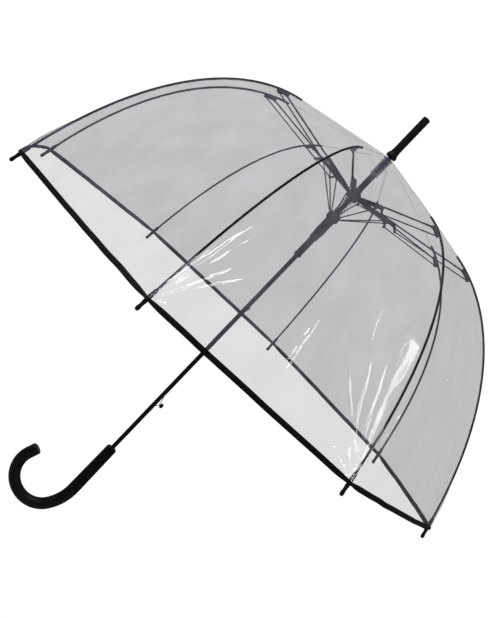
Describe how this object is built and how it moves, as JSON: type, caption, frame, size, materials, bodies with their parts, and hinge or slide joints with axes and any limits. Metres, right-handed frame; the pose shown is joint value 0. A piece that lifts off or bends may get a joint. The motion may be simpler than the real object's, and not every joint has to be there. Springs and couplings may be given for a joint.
{
  "type": "dome stick umbrella",
  "caption": "Clear dome stick umbrella with a black frame, sprung runner on a steel shaft, bound rim and crook handle.",
  "frame": {"origin": "middle of the straight grip of the crook handle, on the shaft axis", "axes": "+Z along the shaft towards the ferrule; the crook lies in the XZ plane and opens towards -X"},
  "size_m": [0.8356, 0.8356, 0.8649],
  "materials": {
    "black_gloss": "glossy black moulded plastic",
    "black_satin": "satin black plastic",
    "dark_steel": "black coated steel",
    "bright_steel": "bare drawn wire",
    "clear_film": "clear soft film with a glossy surface",
    "clear_plastic": "clear moulded plastic",
    "binding_tape": "black woven binding tape"
  },
  "bodies": {
    "root": {"shaft": "dark_steel", "ferrule": "black_gloss", "cap_washer": "clear_plastic", "crown_neck": "black_satin", "crown": "black_satin", "crown_wire": "bright_steel", "opening_spring": "dark_steel", "canopy": "clear_film", "rim_binding": "binding_tape", "handle": "black_gloss", "handle_collar": "black_satin"},
    "runner": {"runner": "black_satin", "runner_wire": "bright_steel", "runner_sleeve": "black_satin"},
    "release": {"release_button": "black_gloss", "release_blade": "dark_steel", "trigger_wire": "bright_steel", "closed_catch": "bright_steel"},
    "arm_1": {"arm_1": "dark_steel"},
    "stretcher_1": {"stretcher_1": "dark_steel"},
    "rib_1": {"rib_1": "dark_steel", "tip_1": "black_gloss"},
    "link_1": {"link_1": "dark_steel"},
    "arm_2": {"arm_2": "dark_steel"},
    "stretcher_2": {"stretcher_2": "dark_steel"},
    "rib_2": {"rib_2": "dark_steel", "tip_2": "black_gloss"},
    "link_2": {"link_2": "dark_steel"},
    "arm_3": {"arm_3": "dark_steel"},
    "stretcher_3": {"stretcher_3": "dark_steel"},
    "rib_3": {"rib_3": "dark_steel", "tip_3": "black_gloss"},
    "link_3": {"link_3": "dark_steel"},
    "arm_4": {"arm_4": "dark_steel"},
    "stretcher_4": {"stretcher_4": "dark_steel"},
    "rib_4": {"rib_4": "dark_steel", "tip_4": "black_gloss"},
    "link_4": {"link_4": "dark_steel"},
    "arm_5": {"arm_5": "dark_steel"},
    "stretcher_5": {"stretcher_5": "dark_steel"},
    "rib_5": {"rib_5": "dark_steel", "tip_5": "black_gloss"},
    "link_5": {"link_5": "dark_steel"},
    "arm_6": {"arm_6": "dark_steel"},
    "stretcher_6": {"stretcher_6": "dark_steel"},
    "rib_6": {"rib_6": "dark_steel", "tip_6": "black_gloss"},
    "link_6": {"link_6": "dark_steel"},
    "arm_7": {"arm_7": "dark_steel"},
    "stretcher_7": {"stretcher_7": "dark_steel"},
    "rib_7": {"rib_7": "dark_steel", "tip_7": "black_gloss"},
    "link_7": {"link_7": "dark_steel"},
    "arm_8": {"arm_8": "dark_steel"},
    "stretcher_8": {"stretcher_8": "dark_steel"},
    "rib_8": {"rib_8": "dark_steel", "tip_8": "black_gloss"},
    "link_8": {"link_8": "dark_steel"}
  },
  "joints": [
    {"name": "runner_slide", "type": "slide", "parent": "root", "child": "runner", "axis": [0, 0, -1], "range_m": [0, 0.1003], "stiffness_N_per_m": 300, "springref_m": -0.1, "deforming": ["opening_spring", "canopy", "rim_binding"]},
    {"name": "release_press", "type": "slide", "parent": "root", "child": "release", "axis": [-1, 0, 0], "range_m": [0, 0.0022], "stiffness_N_per_m": 400, "springref_m": -0.002},
    {"name": "arm_hinge_1", "type": "hinge", "parent": "root", "child": "arm_1", "pos_m": [0.00831, -0.00177, 0.589], "axis": [0.2079, 0.9781, 0], "range_deg": [0, 92.12]},
    {"name": "stretcher_hinge_1", "type": "hinge", "parent": "arm_1", "child": "stretcher_1", "pos_m": [0.0704, -0.01496, 0.59724], "axis": [-0.2079, -0.9781, 0], "range_deg": [0, 141.42]},
    {"name": "rib_hinge_1", "type": "hinge", "parent": "arm_1", "child": "rib_1", "pos_m": [0.19335, -0.0411, 0.61598], "axis": [-0.2079, -0.9781, 0], "range_deg": [0, 54.59]},
    {"name": "link_hinge_1", "type": "hinge", "parent": "rib_1", "child": "link_1", "pos_m": [0.20725, -0.04405, 0.61041], "axis": [0.2079, 0.9781, 0], "range_deg": [0, 48.47]},
    {"name": "arm_hinge_2", "type": "hinge", "parent": "root", "child": "arm_2", "pos_m": [0.00463, -0.00713, 0.589], "axis": [0.8387, 0.5446, 0], "range_deg": [0, 92.12]},
    {"name": "stretcher_hinge_2", "type": "hinge", "parent": "arm_2", "child": "stretcher_2", "pos_m": [0.0392, -0.06036, 0.59724], "axis": [-0.8387, -0.5446, 0], "range_deg": [0, 141.42]},
    {"name": "rib_hinge_2", "type": "hinge", "parent": "arm_2", "child": "rib_2", "pos_m": [0.10766, -0.16578, 0.61598], "axis": [-0.8387, -0.5446, 0], "range_deg": [0, 54.59]},
    {"name": "link_hinge_2", "type": "hinge", "parent": "rib_2", "child": "link_2", "pos_m": [0.1154, -0.1777, 0.61041], "axis": [0.8387, 0.5446, 0], "range_deg": [0, 48.47]},
    {"name": "arm_hinge_3", "type": "hinge", "parent": "root", "child": "arm_3", "pos_m": [-0.00177, -0.00831, 0.589], "axis": [0.9781, -0.2079, 0], "range_deg": [0, 92.12]},
    {"name": "stretcher_hinge_3", "type": "hinge", "parent": "arm_3", "child": "stretcher_3", "pos_m": [-0.01496, -0.0704, 0.59724], "axis": [-0.9781, 0.2079, 0], "range_deg": [0, 141.42]},
    {"name": "rib_hinge_3", "type": "hinge", "parent": "arm_3", "child": "rib_3", "pos_m": [-0.0411, -0.19335, 0.61598], "axis": [-0.9781, 0.2079, 0], "range_deg": [0, 54.59]},
    {"name": "link_hinge_3", "type": "hinge", "parent": "rib_3", "child": "link_3", "pos_m": [-0.04405, -0.20725, 0.61041], "axis": [0.9781, -0.2079, 0], "range_deg": [0, 48.47]},
    {"name": "arm_hinge_4", "type": "hinge", "parent": "root", "child": "arm_4", "pos_m": [-0.00713, -0.00463, 0.589], "axis": [0.5446, -0.8387, 0], "range_deg": [0, 92.12]},
    {"name": "stretcher_hinge_4", "type": "hinge", "parent": "arm_4", "child": "stretcher_4", "pos_m": [-0.06036, -0.0392, 0.59724], "axis": [-0.5446, 0.8387, 0], "range_deg": [0, 141.42]},
    {"name": "rib_hinge_4", "type": "hinge", "parent": "arm_4", "child": "rib_4", "pos_m": [-0.16578, -0.10766, 0.61598], "axis": [-0.5446, 0.8387, 0], "range_deg": [0, 54.59]},
    {"name": "link_hinge_4", "type": "hinge", "parent": "rib_4", "child": "link_4", "pos_m": [-0.1777, -0.1154, 0.61041], "axis": [0.5446, -0.8387, 0], "range_deg": [0, 48.47]},
    {"name": "arm_hinge_5", "type": "hinge", "parent": "root", "child": "arm_5", "pos_m": [-0.00831, 0.00177, 0.589], "axis": [-0.2079, -0.9781, 0], "range_deg": [0, 92.12]},
    {"name": "stretcher_hinge_5", "type": "hinge", "parent": "arm_5", "child": "stretcher_5", "pos_m": [-0.0704, 0.01496, 0.59724], "axis": [0.2079, 0.9781, 0], "range_deg": [0, 141.42]},
    {"name": "rib_hinge_5", "type": "hinge", "parent": "arm_5", "child": "rib_5", "pos_m": [-0.19335, 0.0411, 0.61598], "axis": [0.2079, 0.9781, 0], "range_deg": [0, 54.59]},
    {"name": "link_hinge_5", "type": "hinge", "parent": "rib_5", "child": "link_5", "pos_m": [-0.20725, 0.04405, 0.61041], "axis": [-0.2079, -0.9781, 0], "range_deg": [0, 48.47]},
    {"name": "arm_hinge_6", "type": "hinge", "parent": "root", "child": "arm_6", "pos_m": [-0.00463, 0.00713, 0.589], "axis": [-0.8387, -0.5446, 0], "range_deg": [0, 92.12]},
    {"name": "stretcher_hinge_6", "type": "hinge", "parent": "arm_6", "child": "stretcher_6", "pos_m": [-0.0392, 0.06036, 0.59724], "axis": [0.8387, 0.5446, 0], "range_deg": [0, 141.42]},
    {"name": "rib_hinge_6", "type": "hinge", "parent": "arm_6", "child": "rib_6", "pos_m": [-0.10766, 0.16578, 0.61598], "axis": [0.8387, 0.5446, 0], "range_deg": [0, 54.59]},
    {"name": "link_hinge_6", "type": "hinge", "parent": "rib_6", "child": "link_6", "pos_m": [-0.1154, 0.1777, 0.61041], "axis": [-0.8387, -0.5446, 0], "range_deg": [0, 48.47]},
    {"name": "arm_hinge_7", "type": "hinge", "parent": "root", "child": "arm_7", "pos_m": [0.00177, 0.00831, 0.589], "axis": [-0.9781, 0.2079, 0], "range_deg": [0, 92.12]},
    {"name": "stretcher_hinge_7", "type": "hinge", "parent": "arm_7", "child": "stretcher_7", "pos_m": [0.01496, 0.0704, 0.59724], "axis": [0.9781, -0.2079, 0], "range_deg": [0, 141.42]},
    {"name": "rib_hinge_7", "type": "hinge", "parent": "arm_7", "child": "rib_7", "pos_m": [0.0411, 0.19335, 0.61598], "axis": [0.9781, -0.2079, 0], "range_deg": [0, 54.59]},
    {"name": "link_hinge_7", "type": "hinge", "parent": "rib_7", "child": "link_7", "pos_m": [0.04405, 0.20725, 0.61041], "axis": [-0.9781, 0.2079, 0], "range_deg": [0, 48.47]},
    {"name": "arm_hinge_8", "type": "hinge", "parent": "root", "child": "arm_8", "pos_m": [0.00713, 0.00463, 0.589], "axis": [-0.5446, 0.8387, 0], "range_deg": [0, 92.12]},
    {"name": "stretcher_hinge_8", "type": "hinge", "parent": "arm_8", "child": "stretcher_8", "pos_m": [0.06036, 0.0392, 0.59724], "axis": [0.5446, -0.8387, 0], "range_deg": [0, 141.42]},
    {"name": "rib_hinge_8", "type": "hinge", "parent": "arm_8", "child": "rib_8", "pos_m": [0.16578, 0.10766, 0.61598], "axis": [0.5446, -0.8387, 0], "range_deg": [0, 54.59]},
    {"name": "link_hinge_8", "type": "hinge", "parent": "rib_8", "child": "link_8", "pos_m": [0.1777, 0.1154, 0.61041], "axis": [-0.5446, 0.8387, 0], "range_deg": [0, 48.47]}
  ],
  "couplings": [
    {"joint": "arm_hinge_1", "follows": "runner_slide", "rad_per_m": 16.029},
    {"joint": "stretcher_hinge_1", "follows": "runner_slide", "rad_per_m": 24.608},
    {"joint": "rib_hinge_1", "follows": "runner_slide", "rad_per_m": 9.4987},
    {"joint": "link_hinge_1", "follows": "runner_slide", "rad_per_m": 8.434},
    {"joint": "arm_hinge_2", "follows": "runner_slide", "rad_per_m": 16.029},
    {"joint": "stretcher_hinge_2", "follows": "runner_slide", "rad_per_m": 24.608},
    {"joint": "rib_hinge_2", "follows": "runner_slide", "rad_per_m": 9.4987},
    {"joint": "link_hinge_2", "follows": "runner_slide", "rad_per_m": 8.434},
    {"joint": "arm_hinge_3", "follows": "runner_slide", "rad_per_m": 16.029},
    {"joint": "stretcher_hinge_3", "follows": "runner_slide", "rad_per_m": 24.608},
    {"joint": "rib_hinge_3", "follows": "runner_slide", "rad_per_m": 9.4987},
    {"joint": "link_hinge_3", "follows": "runner_slide", "rad_per_m": 8.434},
    {"joint": "arm_hinge_4", "follows": "runner_slide", "rad_per_m": 16.029},
    {"joint": "stretcher_hinge_4", "follows": "runner_slide", "rad_per_m": 24.608},
    {"joint": "rib_hinge_4", "follows": "runner_slide", "rad_per_m": 9.4987},
    {"joint": "link_hinge_4", "follows": "runner_slide", "rad_per_m": 8.434},
    {"joint": "arm_hinge_5", "follows": "runner_slide", "rad_per_m": 16.029},
    {"joint": "stretcher_hinge_5", "follows": "runner_slide", "rad_per_m": 24.608},
    {"joint": "rib_hinge_5", "follows": "runner_slide", "rad_per_m": 9.4987},
    {"joint": "link_hinge_5", "follows": "runner_slide", "rad_per_m": 8.434},
    {"joint": "arm_hinge_6", "follows": "runner_slide", "rad_per_m": 16.029},
    {"joint": "stretcher_hinge_6", "follows": "runner_slide", "rad_per_m": 24.608},
    {"joint": "rib_hinge_6", "follows": "runner_slide", "rad_per_m": 9.4987},
    {"joint": "link_hinge_6", "follows": "runner_slide", "rad_per_m": 8.434},
    {"joint": "arm_hinge_7", "follows": "runner_slide", "rad_per_m": 16.029},
    {"joint": "stretcher_hinge_7", "follows": "runner_slide", "rad_per_m": 24.608},
    {"joint": "rib_hinge_7", "follows": "runner_slide", "rad_per_m": 9.4987},
    {"joint": "link_hinge_7", "follows": "runner_slide", "rad_per_m": 8.434},
    {"joint": "arm_hinge_8", "follows": "runner_slide", "rad_per_m": 16.029},
    {"joint": "stretcher_hinge_8", "follows": "runner_slide", "rad_per_m": 24.608},
    {"joint": "rib_hinge_8", "follows": "runner_slide", "rad_per_m": 9.4987},
    {"joint": "link_hinge_8", "follows": "runner_slide", "rad_per_m": 8.434}
  ]
}
